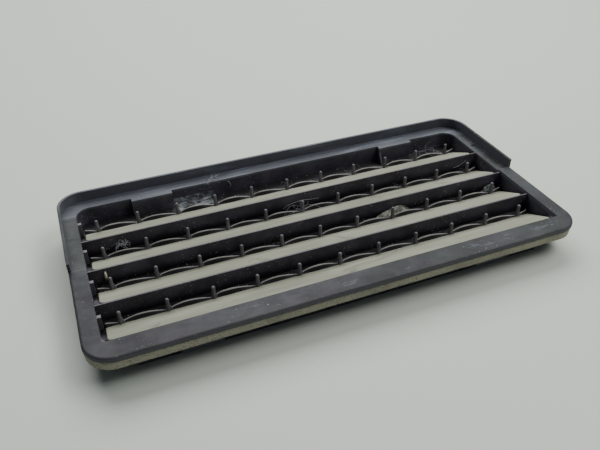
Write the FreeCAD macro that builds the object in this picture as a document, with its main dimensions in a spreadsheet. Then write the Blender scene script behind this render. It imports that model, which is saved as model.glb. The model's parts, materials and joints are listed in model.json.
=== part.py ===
import FreeCAD, Part
import os
import Sketcher

# Cabin pressure-relief vent: a flanged frame with four rows of thin rubber flaps.
# Each flap hangs on a row of pegs, lies on a sloping seat and lifts when air pushes it.
# Frame of the part: X along the vent, +Y towards the side with the rain rim, +Z out of
# the face. The origin is the centre of the outline, at the bottom edge of the collar.

SIZES = {
    # pegs and flaps, along X
    "peg_gaps": 10,
    "peg_pitch": 20.0,
    "peg_diameter": 1.7,
    "peg_height": 7.6,
    "barb_reach": 1.0,
    "barb_height": 2.8,
    "flap_overhang": 6.2,
    "flap_end_gap": 2.4,
    "end_post_width": 1.7,
    # rows of flaps, along Y
    "row_gaps": 3,
    "row_pitch": 22.5,
    "far_trough": 10.3,
    "flap_run": 15.05,
    "hinge_offset": 1.7,
    "flap_edge_gap": 0.25,
    "ridge_land": 0.6,
    # flap rubber
    "flap_thickness": 0.7,
    "flap_corner": 3.5,
    "blade_start": 0.3,
    "margin_front": 1.25,
    "margin_back": 1.6,
    "peg_hole_gap": 0.05,
    "rest_gap": 0.05,
    # louvres
    "seat_angle": 29.0,
    "seat_thickness": 1.6,
    "ridge_wall": 1.6,
    "ridge_drop": 0.8,
    "flap_sink": 0.1,
    "floor_thickness": 1.4,
    "window_rib": 2.0,
    "window_near_edge": 1.4,
    "window_far_edge": 2.2,
    # flange and rain rim
    "near_strip": 10.0,
    "far_strip": 8.2,
    "side_strip": 7.6,
    "flange_thickness": 2.0,
    "flange_corner": 12.0,
    "edge_round": 1.2,
    "opening_corner": 7.0,
    "rim_height": 4.5,
    "rim_thickness": 1.3,
    "recess_depth": 0.9,
    "groove_start": 5.5,
    "groove_length": 23.6,
    "groove_width": 3.2,
    "groove_inset": 2.2,
    "groove_depth": 0.5,
    # collar below the flange
    "collar_depth": 14.0,
    "collar_wall": 2.0,
    "collar_corner": 8.0,
    "relief_length": 13.5,
    "relief_height": 3.0,
    # foam seal
    "foam_thickness": 4.8,
    "foam_inset": 0.15,
    "foam_gap": 0.3,
    # snap arms and their pockets
    "snap_centre": 70.6,
    "arm_width": 17.8,
    "arm_thickness": 1.4,
    "arm_side_gap": 0.4,
    "arm_top_gap": 0.3,
    "slot_bridge": 1.6,
    "arm_lift": 0.6,
    "hook_depth": 1.8,
    "hook_height": 6.0,
    "hook_ramp": 1.6,
    "pocket_depth": 2.7,
    "pocket_back": 1.2,
    "pocket_cheek": 1.1,
    "fin_thickness": 1.2,
    "fin_reach": 3.6,
    "fin_height": 6.5,
    # how far a cut runs past the material that it removes
    "cut_spare": 1.0,
}

ROWS = (1, 2, 3, 4)
DEGREE = 3.141592653589793 / 180
TOLERANCE = 1e-6
SMALLEST_CUT = 1e-3

doc = FreeCAD.newDocument("cabin_vent")
sheet = doc.addObject("Spreadsheet::Sheet", "Sizes")
for row_number, (alias, number) in enumerate(SIZES.items(), start=1):
    sheet.set("A%d" % row_number, alias)
    sheet.set("B%d" % row_number, str(number))
    sheet.setAlias("B%d" % row_number, alias)
doc.recompute()


def size(alias):
    """Expression that reads one driving size."""
    return "Sizes." + alias


def value(expression):
    """Number that an expression has now, in millimetres or degrees."""
    found = sheet.evalExpression(str(expression))
    return float(getattr(found, "Value", found))


def minus(expression):
    """Expression with the sign turned."""
    return "-(%s)" % expression


# Places worked out from the driving sizes. Lengths along X are measured from the middle.
FLAP_HALF = "(Sizes.peg_gaps * Sizes.peg_pitch / 2 + Sizes.flap_overhang)"
OPENING_HALF = "(%s + Sizes.flap_end_gap)" % FLAP_HALF
OUTER_HALF = "(%s + Sizes.side_strip)" % OPENING_HALF
COLLAR_HALF = "(%s + Sizes.collar_wall)" % OPENING_HALF

# From the peg line of a row to the edge that its flap's free end lies beside.
FLAP_REACH = "(Sizes.hinge_offset + Sizes.flap_run + Sizes.flap_edge_gap)"
OPENING_WIDTH = "(Sizes.far_trough + Sizes.row_gaps * Sizes.row_pitch + %s)" % FLAP_REACH
OUTER_WIDTH = "(Sizes.near_strip + %s + Sizes.far_strip)" % OPENING_WIDTH
FAR_OUTER = "(%s / 2)" % OUTER_WIDTH
NEAR_OUTER = "(-%s)" % FAR_OUTER
FAR_INNER = "(%s - Sizes.far_strip)" % FAR_OUTER
NEAR_INNER = "(%s + Sizes.near_strip)" % NEAR_OUTER
FAR_COLLAR = "(%s + Sizes.collar_wall)" % FAR_INNER
NEAR_COLLAR = "(%s - Sizes.collar_wall)" % NEAR_INNER

# Heights above the bottom edge of the collar.
FLANGE_BOTTOM = "Sizes.collar_depth"
FLANGE_TOP = "(Sizes.collar_depth + Sizes.flange_thickness)"
RECESS_TOP = "(%s - Sizes.recess_depth)" % FLANGE_TOP
RIDGE_TOP = "(%s - Sizes.ridge_drop)" % FLANGE_TOP

# The closed flap's free edge lies just below the ridge, and everything lower follows from it.
SLOPE = "tan(Sizes.seat_angle * 1deg)"
SLANT = "cos(Sizes.seat_angle * 1deg)"
FREE_EDGE = "(%s - Sizes.flap_sink - Sizes.flap_thickness / 2 * %s)" % (RIDGE_TOP, SLANT)
HINGE_HEIGHT = "(%s - Sizes.flap_run * %s)" % (FREE_EDGE, SLOPE)
FLOOR_TOP = "(%s - Sizes.flap_thickness / 2 - Sizes.rest_gap)" % HINGE_HEIGHT
FLOOR_BOTTOM = "(%s - Sizes.floor_thickness)" % FLOOR_TOP
SEAT_DROP = "((Sizes.flap_thickness / 2 + Sizes.rest_gap) / %s)" % SLANT
SEAT_DEPTH = "(Sizes.seat_thickness / %s)" % SLANT
ARM_HALF = "(Sizes.arm_width / 2)"
SLOT_HALF = "(Sizes.arm_width / 2 + Sizes.arm_side_gap)"
POCKET_HALF = "(%s + Sizes.pocket_cheek)" % SLOT_HALF
POCKET_FACE = "(%s - Sizes.pocket_depth)" % FAR_INNER


def peg_line(row):
    """Expression for the Y of a row's pegs; row 1 is the farthest."""
    return "(%s - Sizes.far_trough - %d * Sizes.row_pitch)" % (FAR_INNER, row - 1)


def seat_height(back):
    """Height of the seat's face at a distance in front of the peg line."""
    return "(%s + ((%s) - Sizes.hinge_offset) * %s - %s)" % (HINGE_HEIGHT, back, SLOPE, SEAT_DROP)


def new_body(name):
    body = doc.addObject("PartDesign::Body", name)
    body.Label = name
    return body


def new_sketch(body, name, plane_role, offset="0"):
    """Sketch on one of the body's own origin planes, moved along its normal."""
    plane = [p for p in body.Origin.OriginFeatures if p.Role == plane_role][0]
    sketch = body.newObject("Sketcher::SketchObject", name)
    sketch.AttachmentSupport = [(plane, "")]
    sketch.MapMode = "FlatFace"
    sketch.setExpression("AttachmentOffset.Base.z", "(%s) * 1mm" % offset)
    return sketch


def bind(sketch, constraint, expression):
    """Add one dimension and tie it to an expression."""
    index = sketch.addConstraint(constraint)
    sketch.setExpression("Constraints[%d]" % index, expression)


def draw_outline(sketch, corners):
    """Closed outline of straight lines; corners are pairs of expressions."""
    points = [FreeCAD.Vector(value(u), value(v), 0) for u, v in corners]
    count = len(points)
    first = sketch.GeometryCount
    for index in range(count):
        start = points[index]
        end = points[(index + 1) % count]
        sketch.addGeometry(Part.LineSegment(start, end), False)
    for index in range(count):
        after = first + (index + 1) % count
        sketch.addConstraint(Sketcher.Constraint("Coincident", first + index, 2, after, 1))
    for index, (u, v) in enumerate(corners):
        line = first + index
        across = Sketcher.Constraint("DistanceX", -1, 1, line, 1, points[index].x)
        along = Sketcher.Constraint("DistanceY", -1, 1, line, 1, points[index].y)
        bind(sketch, across, u)
        bind(sketch, along, v)


def draw_rectangle(sketch, low_u, low_v, high_u, high_v):
    draw_outline(sketch, [(low_u, low_v), (high_u, low_v), (high_u, high_v), (low_u, high_v)])


def draw_rounded(sketch, half, near, far, corner):
    """Rectangle about X = 0 whose four corners are arcs of one radius."""
    h = value(half)
    low = value(near)
    high = value(far)
    r = value(corner)
    normal = FreeCAD.Vector(0, 0, 1)
    quarter = 90 * DEGREE
    first = sketch.GeometryCount
    sides = [((r - h, low), (h - r, low)), ((h, low + r), (h, high - r)),
             ((h - r, high), (r - h, high)), ((-h, high - r), (-h, low + r))]
    centres = [(h - r, low + r), (h - r, high - r), (r - h, high - r), (r - h, low + r)]
    for index in range(4):
        start, end = sides[index]
        line = Part.LineSegment(FreeCAD.Vector(*start, 0), FreeCAD.Vector(*end, 0))
        sketch.addGeometry(line, False)
        circle = Part.Circle(FreeCAD.Vector(*centres[index], 0), normal, r)
        begin = (index - 1) * quarter
        sketch.addGeometry(Part.ArcOfCircle(circle, begin, begin + quarter), False)
    for index in range(4):
        line = first + 2 * index
        after = first + (2 * index + 2) % 8
        sketch.addConstraint(Sketcher.Constraint("Tangent", line, 2, line + 1, 1))
        sketch.addConstraint(Sketcher.Constraint("Tangent", line + 1, 2, after, 1))
        sketch.addConstraint(Sketcher.Constraint("Vertical" if index % 2 else "Horizontal", line))
    for index in range(3):
        arc = first + 2 * index + 1
        sketch.addConstraint(Sketcher.Constraint("Equal", arc, arc + 2))
    bind(sketch, Sketcher.Constraint("Radius", first + 1, r), corner)
    bind(sketch, Sketcher.Constraint("DistanceY", -1, 1, first, 1, low), near)
    bind(sketch, Sketcher.Constraint("DistanceX", -1, 1, first + 2, 1, h), half)
    bind(sketch, Sketcher.Constraint("DistanceY", -1, 1, first + 4, 1, high), far)
    bind(sketch, Sketcher.Constraint("DistanceX", -1, 1, first + 6, 1, -h), minus(half))


def draw_circle(sketch, u, v, diameter):
    """Circle whose centre and diameter are expressions."""
    centre = FreeCAD.Vector(value(u), value(v), 0)
    normal = FreeCAD.Vector(0, 0, 1)
    circle = sketch.addGeometry(Part.Circle(centre, normal, value(diameter) / 2), False)
    bind(sketch, Sketcher.Constraint("DistanceX", -1, 1, circle, 3, centre.x), u)
    bind(sketch, Sketcher.Constraint("DistanceY", -1, 1, circle, 3, centre.y), v)
    bind(sketch, Sketcher.Constraint("Diameter", circle, value(diameter)), diameter)


def pad(body, sketch, length, midplane=False):
    feature = body.newObject("PartDesign::Pad", sketch.Name + "_pad")
    feature.Profile = sketch
    feature.setExpression("Length", length)
    if midplane:
        feature.SideType = "Symmetric"
    doc.recompute()
    return feature


def pocket(body, sketch, depth):
    """Cut along the sketch's normal, upwards, and make sure that it removed something."""
    before = body.Shape.Volume
    feature = body.newObject("PartDesign::Pocket", sketch.Name + "_cut")
    feature.Profile = sketch
    feature.Reversed = True
    feature.setExpression("Length", depth)
    doc.recompute()
    if body.Shape.Volume > before - SMALLEST_CUT:
        raise RuntimeError(sketch.Name + " removes nothing")
    return feature


def fillet(body, edge_names, radius):
    base = body.Tip
    feature = body.newObject("PartDesign::Fillet", base.Name + "_round")
    feature.Base = (base, edge_names)
    feature.setExpression("Radius", radius)
    doc.recompute()
    return feature


def upright_edges(shape, wanted):
    """Names of the edges parallel to Z whose place passes a test on X and Y."""
    names = []
    for index, edge in enumerate(shape.Edges, start=1):
        low = edge.BoundBox
        is_upright = low.ZLength > TOLERANCE and low.XLength < TOLERANCE and low.YLength < TOLERANCE
        if is_upright and wanted(low.XMin, low.YMin):
            names.append("Edge%d" % index)
    return names


def round_corners(body, radius, wanted):
    return fillet(body, upright_edges(body.Shape, wanted), radius)


def make_flange():
    """Flat flange with its opening, the lowered far half and the rain rim round it."""
    body = new_body("flange_frame")
    plate = new_sketch(body, "flange_plate", "XY_Plane", FLANGE_BOTTOM)
    draw_rectangle(plate, minus(OUTER_HALF), NEAR_OUTER, OUTER_HALF, FAR_OUTER)
    pad(body, plate, size("flange_thickness"))
    round_corners(body, size("flange_corner"), lambda x, y: True)
    top = value(FLANGE_TOP)
    top_edges = []
    for index, edge in enumerate(body.Shape.Edges, start=1):
        if abs(edge.BoundBox.ZMin - top) < TOLERANCE:
            top_edges.append("Edge%d" % index)
    fillet(body, top_edges, size("edge_round"))

    rim = new_sketch(body, "rain_rim", "XY_Plane", FLANGE_BOTTOM)
    draw_rectangle(rim, minus(OUTER_HALF), "0", OUTER_HALF, FAR_OUTER)
    pad(body, rim, "Sizes.flange_thickness + Sizes.rim_height")
    rim_top = value(FLANGE_TOP + " + Sizes.rim_height")
    far_y = value(FAR_OUTER)
    far_upright = upright_edges(body.Shape, lambda x, y: abs(y - far_y) < TOLERANCE)
    tall = []
    for name in far_upright:
        if abs(body.Shape.getElement(name).BoundBox.ZMax - rim_top) < TOLERANCE:
            tall.append(name)
    fillet(body, tall, size("flange_corner"))

    # The well inside the rim goes down to the lowered floor of the far half.
    well = new_sketch(body, "rim_well", "XY_Plane", RECESS_TOP)
    inside = "(%s - Sizes.rim_thickness)" % OUTER_HALF
    far_inside = "(%s - Sizes.rim_thickness)" % FAR_OUTER
    well_corner = "(Sizes.flange_corner - Sizes.rim_thickness)"
    draw_well(well, inside, far_inside, well_corner)
    pocket(body, well, "Sizes.recess_depth + Sizes.rim_height + Sizes.cut_spare")

    opening = new_sketch(body, "flange_opening", "XY_Plane", "0")
    draw_rectangle(opening, minus(OPENING_HALF), NEAR_INNER, OPENING_HALF, FAR_INNER)
    pocket(body, opening, FLANGE_TOP + " + Sizes.rim_height")
    inner_y = value(FAR_INNER)
    round_corners(body, size("opening_corner"), lambda x, y: abs(y - inner_y) < TOLERANCE)

    # Tongues that close the two snap pockets from above.
    tongues = new_sketch(body, "pocket_lids", "XY_Plane", FLANGE_BOTTOM)
    for side in (-1, 1):
        centre = "%d * Sizes.snap_centre" % side
        low = "%s - %s" % (centre, POCKET_HALF)
        high = "%s + %s" % (centre, POCKET_HALF)
        draw_rectangle(tongues, low, POCKET_FACE, high, FAR_INNER)
    pad(body, tongues, "Sizes.flange_thickness - Sizes.recess_depth")

    groove = new_sketch(body, "drain_groove", "XY_Plane", RECESS_TOP + " - Sizes.groove_depth")
    outer = "(%s - Sizes.groove_inset)" % OUTER_HALF
    start = "Sizes.groove_start"
    end = "Sizes.groove_start + Sizes.groove_length"
    draw_rectangle(groove, outer + " - Sizes.groove_width", start, outer, end)
    pocket(body, groove, "Sizes.groove_depth + Sizes.cut_spare")
    return body


def draw_well(sketch, half, far, corner):
    """Rectangle from Y = 0 to the far side, with its two far corners as arcs."""
    h = value(half)
    f = value(far)
    r = value(corner)
    point = FreeCAD.Vector
    normal = FreeCAD.Vector(0, 0, 1)
    quarter = 90 * DEGREE
    sketch.addGeometry(Part.LineSegment(point(-h, 0, 0), point(h, 0, 0)), False)
    sketch.addGeometry(Part.LineSegment(point(h, 0, 0), point(h, f - r, 0)), False)
    right = Part.Circle(point(h - r, f - r, 0), normal, r)
    sketch.addGeometry(Part.ArcOfCircle(right, 0, quarter), False)
    sketch.addGeometry(Part.LineSegment(point(h - r, f, 0), point(r - h, f, 0)), False)
    left = Part.Circle(point(r - h, f - r, 0), normal, r)
    sketch.addGeometry(Part.ArcOfCircle(left, quarter, 2 * quarter), False)
    sketch.addGeometry(Part.LineSegment(point(-h, f - r, 0), point(-h, 0, 0)), False)
    joins = [(0, 2, 1, 1), (1, 2, 2, 1), (2, 2, 3, 1), (3, 2, 4, 1), (4, 2, 5, 1), (5, 2, 0, 1)]
    for first, end, second, start in joins[:1] + joins[5:]:
        sketch.addConstraint(Sketcher.Constraint("Coincident", first, end, second, start))
    for first, end, second, start in joins[1:5]:
        sketch.addConstraint(Sketcher.Constraint("Tangent", first, end, second, start))
    sketch.addConstraint(Sketcher.Constraint("Horizontal", 0))
    sketch.addConstraint(Sketcher.Constraint("Vertical", 1))
    sketch.addConstraint(Sketcher.Constraint("Horizontal", 3))
    sketch.addConstraint(Sketcher.Constraint("Vertical", 5))
    bind(sketch, Sketcher.Constraint("DistanceX", -1, 1, 0, 1, -h), minus(half))
    bind(sketch, Sketcher.Constraint("DistanceX", -1, 1, 0, 2, h), half)
    sketch.addConstraint(Sketcher.Constraint("PointOnObject", 0, 1, -1))
    bind(sketch, Sketcher.Constraint("DistanceY", -1, 1, 3, 1, f), far)
    bind(sketch, Sketcher.Constraint("Radius", 2, r), corner)
    bind(sketch, Sketcher.Constraint("Radius", 4, r), corner)


def make_collar():
    """Wall below the flange, with snap slots, the two closed pockets and a fin."""
    body = new_body("duct_collar")
    wall = new_sketch(body, "collar_wall", "XY_Plane", "0")
    draw_rounded(wall, COLLAR_HALF, NEAR_COLLAR, FAR_COLLAR, size("collar_corner"))
    inner_corner = "(Sizes.collar_corner - Sizes.collar_wall)"
    draw_rounded(wall, OPENING_HALF, NEAR_INNER, FAR_INNER, inner_corner)
    pad(body, wall, size("collar_depth"))

    pockets = new_sketch(body, "pocket_blocks", "XY_Plane", FLOOR_TOP)
    for side in (-1, 1):
        centre = "%d * Sizes.snap_centre" % side
        low = "%s - %s" % (centre, POCKET_HALF)
        high = "%s + %s" % (centre, POCKET_HALF)
        draw_rectangle(pockets, low, POCKET_FACE, high, FAR_INNER)
    pad(body, pockets, "%s - %s" % (FLANGE_BOTTOM, FLOOR_TOP))

    slots = new_sketch(body, "snap_slots", "XY_Plane", "0")
    for side in (-1, 1):
        centre = "%d * Sizes.snap_centre" % side
        low = "%s - %s" % (centre, SLOT_HALF)
        high = "%s + %s" % (centre, SLOT_HALF)
        back = "%s + Sizes.pocket_back" % POCKET_FACE
        draw_rectangle(slots, low, back, high, FAR_COLLAR + " + Sizes.cut_spare")
        draw_rectangle(slots, low, NEAR_COLLAR + " - Sizes.cut_spare",
                       high, NEAR_INNER + " + Sizes.cut_spare")
    pocket(body, slots, "Sizes.collar_depth - Sizes.slot_bridge")

    corners = new_sketch(body, "corner_reliefs", "XY_Plane", "0")
    for side in (-1, 1):
        inner = "%d * (%s - Sizes.relief_length)" % (side, COLLAR_HALF)
        outer = "%d * (%s + Sizes.cut_spare)" % (side, COLLAR_HALF)
        low, high = (inner, outer) if side > 0 else (outer, inner)
        near_top = "%s + Sizes.collar_corner" % NEAR_COLLAR
        far_low = "%s - Sizes.collar_corner" % FAR_COLLAR
        draw_rectangle(corners, low, NEAR_COLLAR + " - Sizes.cut_spare", high, near_top)
        draw_rectangle(corners, low, far_low, high, FAR_COLLAR + " + Sizes.cut_spare")
    pocket(body, corners, size("relief_height"))

    # A fin stiffens the end of the right-hand pocket against the trough floor.
    fin = new_sketch(body, "pocket_fin", "YZ_Plane",
                     "Sizes.snap_centre - %s" % POCKET_HALF)
    fin_top = "%s + Sizes.fin_height" % FLOOR_TOP
    front = "%s - Sizes.fin_reach" % POCKET_FACE
    draw_outline(fin, [(front, FLOOR_TOP), (POCKET_FACE, FLOOR_TOP), (POCKET_FACE, fin_top)])
    pad(body, fin, size("fin_thickness"))
    return body


def make_louvre(row):
    """Ridge wall, sloping seat with air windows, and the trough floor behind the pegs."""
    body = new_body("louvre_%d" % row)
    pegs = peg_line(row)
    is_nearest = row == ROWS[-1]

    def across(back):
        """Y at a distance in front of the peg line."""
        return "(%s - (%s))" % (pegs, back)

    lip = FLAP_REACH
    near_face = "(%s + Sizes.ridge_land)" % lip
    wall_back = "(%s - Sizes.ridge_wall)" % near_face
    foot_rise = "(%s - %s + %s)" % (FLOOR_TOP, HINGE_HEIGHT, SEAT_DROP)
    foot = "(Sizes.hinge_offset + %s / %s)" % (foot_rise, SLOPE)
    under_foot = "(%s + (%s - Sizes.floor_thickness) / %s)" % (foot, SEAT_DEPTH, SLOPE)
    if row == ROWS[0]:
        behind = "(-Sizes.far_trough)"
    else:
        behind = "(%s - Sizes.row_pitch)" % near_face
    corners = [
        (across(foot), FLOOR_TOP),
        (across(behind), FLOOR_TOP),
        (across(behind), FLOOR_BOTTOM),
        (across(under_foot), FLOOR_BOTTOM),
    ]
    if is_nearest:
        corners.append((across(lip), "%s - %s" % (seat_height(lip), SEAT_DEPTH)))
        corners.append((across(lip), seat_height(lip)))
    else:
        corners.append((across(wall_back), "%s - %s" % (seat_height(wall_back), SEAT_DEPTH)))
        corners.append((across(wall_back), FLOOR_BOTTOM))
        corners.append((across(near_face), FLOOR_BOTTOM))
        corners.append((across(near_face), RIDGE_TOP))
        corners.append((across(lip), RIDGE_TOP))
        corners.append((across(lip), seat_height(lip)))
    profile = new_sketch(body, "louvre_profile_%d" % row, "YZ_Plane")
    draw_outline(profile, corners)
    pad(body, profile, "2 * %s" % OPENING_HALF, midplane=True)

    # Each window is two peg pitches wide, less a rib, so the ribs stand in line with pegs.
    windows = new_sketch(body, "air_windows_%d" % row, "XY_Plane", FLOOR_BOTTOM + " - Sizes.cut_spare")
    width = "(2 * Sizes.peg_pitch - Sizes.window_rib)"
    low = across("%s - Sizes.window_near_edge" % wall_back)
    high = across("%s + Sizes.window_far_edge" % under_foot)
    window_count = int(SIZES["peg_gaps"]) // 2
    for index in range(window_count):
        centre = "(%d - %d) * Sizes.peg_pitch" % (2 * index, window_count - 1)
        left = "%s - %s / 2" % (centre, width)
        right = "%s + %s / 2" % (centre, width)
        draw_rectangle(windows, left, low, right, high)
    pocket(body, windows, "Sizes.collar_depth")

    corner = "(Sizes.collar_corner - Sizes.collar_wall)"
    if is_nearest:
        clipped = new_sketch(body, "clipped_corners", "XY_Plane", "0")
        for side in (-1, 1):
            outer = "%d * %s" % (side, OPENING_HALF)
            inner = "%d * (%s - %s)" % (side, OPENING_HALF, corner)
            draw_outline(clipped, [(outer, NEAR_INNER), (outer, "%s + %s" % (NEAR_INNER, corner)),
                                   (inner, NEAR_INNER)])
        pocket(body, clipped, FLANGE_TOP)
    if row == ROWS[0]:
        far_y = value(FAR_INNER)
        round_corners(body, corner, lambda x, y: abs(y - far_y) < TOLERANCE)
        notches = new_sketch(body, "pocket_notches", "XY_Plane", FLOOR_BOTTOM + " - Sizes.cut_spare")
        for side in (-1, 1):
            centre = "%d * Sizes.snap_centre" % side
            back = "%s + Sizes.pocket_back" % POCKET_FACE
            left = "%s - %s" % (centre, SLOT_HALF)
            right = "%s + %s" % (centre, SLOT_HALF)
            draw_rectangle(notches, left, back, right, FAR_INNER + " + Sizes.cut_spare")
        pocket(body, notches, "Sizes.floor_thickness + 2 * Sizes.cut_spare")
    return body


def primitive(kind, name, numbers, place):
    """Part primitive with its sizes and place tied to expressions."""
    thing = doc.addObject("Part::" + kind, name)
    for key, expression in numbers.items():
        thing.setExpression(key, expression)
    for axis, expression in zip("xyz", place):
        thing.setExpression("Placement.Base." + axis, "(%s) * 1mm" % expression)
    return thing


def make_peg_row(row):
    """Row of round-topped pegs with a barb each, and a flat post on the left-hand wall."""
    pegs = peg_line(row)
    radius = "Sizes.peg_diameter / 2"
    pieces = []
    for index in range(int(SIZES["peg_gaps"]) + 1):
        label = "row_%d_peg_%d" % (row, index + 1)
        x = "(%d - Sizes.peg_gaps / 2) * Sizes.peg_pitch" % index
        shank = primitive("Cylinder", label + "_shank",
                          {"Radius": radius, "Height": "Sizes.peg_height - %s" % radius},
                          (x, pegs, FLOOR_TOP))
        tip_height = "%s + Sizes.peg_height - %s" % (FLOOR_TOP, radius)
        tip = primitive("Sphere", label + "_tip", {"Radius": radius}, (x, pegs, tip_height))
        barb = primitive("Wedge", label + "_barb",
                         {"Xmin": "0", "Xmax": "Sizes.barb_reach + %s" % radius,
                          "X2min": "0", "X2max": radius,
                          "Ymin": "0", "Ymax": "Sizes.barb_height",
                          "Zmin": "0", "Zmax": "Sizes.peg_diameter / 2",
                          "Z2min": "0", "Z2max": "Sizes.peg_diameter / 2"},
                         (x, "%s + Sizes.peg_diameter / 4" % pegs,
                          "%s + 2 * Sizes.rest_gap + Sizes.flap_thickness" % FLOOR_TOP))
        barb.Placement.Rotation = FreeCAD.Rotation(FreeCAD.Vector(1, 0, 0), 90)
        fused = doc.addObject("Part::MultiFuse", label)
        fused.Shapes = [shank, tip, barb]
        pieces.append(fused)
    post = primitive("Box", "row_%d_post" % row,
                     {"Length": "Sizes.end_post_width", "Width": "Sizes.peg_diameter",
                      "Height": "Sizes.peg_height"},
                     (minus(OPENING_HALF), "%s - Sizes.peg_diameter / 2" % pegs, FLOOR_TOP))
    pieces.append(post)
    group = doc.addObject("Part::Compound", "peg_row_%d" % row)
    group.Links = pieces
    group.Label = "peg_row_%d" % row
    return group


def make_foam_seal():
    """Square-cut foam ring under the flange, round the collar."""
    body = new_body("foam_seal")
    ring = new_sketch(body, "foam_ring", "XY_Plane", "%s - Sizes.foam_thickness" % FLANGE_BOTTOM)
    draw_rounded(ring, "(%s - Sizes.foam_inset)" % OUTER_HALF, NEAR_OUTER + " + Sizes.foam_inset",
                 FAR_OUTER + " - Sizes.foam_inset", "Sizes.flange_corner - Sizes.foam_inset")
    pad(body, ring, size("foam_thickness"))
    hole = new_sketch(body, "foam_hole", "XY_Plane", "0")
    draw_rounded(hole, "(%s + Sizes.foam_gap)" % COLLAR_HALF, NEAR_COLLAR + " - Sizes.foam_gap",
                 FAR_COLLAR + " + Sizes.foam_gap", "Sizes.collar_corner + Sizes.foam_gap")
    pocket(body, hole, FLANGE_TOP)
    return body


def make_flap_margin(row):
    """Fixed edge of a flap, pressed over the pegs."""
    body = new_body("flap_margin_%d" % row)
    strip = new_sketch(body, "margin_strip_%d" % row, "XY_Plane", "%s + Sizes.rest_gap" % FLOOR_TOP)
    pegs = peg_line(row)
    draw_rectangle(strip, minus(FLAP_HALF), pegs + " - Sizes.margin_front",
                   FLAP_HALF, pegs + " + Sizes.margin_back")
    hole = "Sizes.peg_diameter + 2 * Sizes.peg_hole_gap"
    for index in range(int(SIZES["peg_gaps"]) + 1):
        x = "(%d - Sizes.peg_gaps / 2) * Sizes.peg_pitch" % index
        draw_circle(strip, x, pegs, hole)
    pad(body, strip, size("flap_thickness"))
    return body


def make_flap_blade(row):
    """Moving part of a flap: a flat strip that turns about its far edge."""
    body = new_body("flap_blade_%d" % row)
    strip = new_sketch(body, "blade_strip_%d" % row, "XY_Plane")
    chord = "(Sizes.flap_run / %s)" % SLANT
    draw_rectangle(strip, minus(FLAP_HALF), minus(chord), FLAP_HALF, "-Sizes.blade_start")
    pad(body, strip, size("flap_thickness"), midplane=True)
    free_edge = value(minus(chord))
    round_corners(body, size("flap_corner"), lambda x, y: abs(y - free_edge) < TOLERANCE)
    body.Placement = FreeCAD.Placement(
        FreeCAD.Vector(0, value(peg_line(row) + " - Sizes.hinge_offset"), value(HINGE_HEIGHT)),
        FreeCAD.Rotation(FreeCAD.Vector(1, 0, 0), -value(size("seat_angle"))))
    return body


def make_snap_arm(end, side):
    """Springy tongue in the collar wall with a hook on its outer face."""
    name = "snap_arm_%s_%s" % (end, "left" if side < 0 else "right")
    body = new_body(name)
    out = 1 if end == "far" else -1
    face = FAR_COLLAR if end == "far" else NEAR_COLLAR
    inner = "%s - %d * Sizes.arm_thickness" % (face, out)
    hook = "%s + %d * Sizes.hook_depth" % (face, out)
    top = "Sizes.collar_depth - Sizes.slot_bridge - Sizes.arm_top_gap"
    bottom = size("arm_lift")
    hook_low = "Sizes.arm_lift + Sizes.hook_ramp"
    hook_high = "Sizes.arm_lift + Sizes.hook_height"
    profile = new_sketch(body, name + "_profile", "YZ_Plane",
                         "%d * Sizes.snap_centre" % side)
    draw_outline(profile, [(inner, bottom), (face, bottom), (hook, hook_low),
                           (hook, hook_high), (face, hook_high), (face, top), (inner, top)])
    pad(body, profile, size("arm_width"), midplane=True)
    return body


parts = [make_flange(), make_collar(), make_foam_seal()]
for row in ROWS:
    parts.append(make_louvre(row))
    parts.append(make_peg_row(row))
    parts.append(make_flap_margin(row))
    parts.append(make_flap_blade(row))
for end in ("near", "far"):
    for side in (-1, 1):
        parts.append(make_snap_arm(end, side))
doc.recompute()

for thing in doc.Objects:
    if "Invalid" in thing.State or "Error" in thing.State:
        raise RuntimeError("%s failed: %s" % (thing.Name, thing.State))
for part in parts:
    if part.Shape.isNull() or not part.Shape.isValid():
        raise RuntimeError(part.Label + " has no valid shape")

os.makedirs("parts", exist_ok=True)
for part in parts:
    part.Shape.exportStep("parts/%s.step" % part.Label)
    box = part.Shape.BoundBox
    print("%-22s solids %2d  volume %9.1f  x %7.2f %7.2f  y %7.2f %7.2f  z %6.2f %6.2f" % (
        part.Label, len(part.Shape.Solids), part.Shape.Volume,
        box.XMin, box.XMax, box.YMin, box.YMax, box.ZMin, box.ZMax))
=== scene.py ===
# %% [markdown]
# # A cabin pressure-relief vent
#
# The real object is a black plastic frame with four sloping shelves. A thin strip of rubber
# lies on each shelf and lifts when air pushes from below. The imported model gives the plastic
# pieces at their true size. This lesson paints them, and makes the soft pieces as new meshes:
# the rubber flaps, the foam seal and the dirt that years on a vehicle leave behind.
# Lengths are in metres, x runs along the shelves, y to the far side and z up.

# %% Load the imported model
import json
import math

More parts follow.
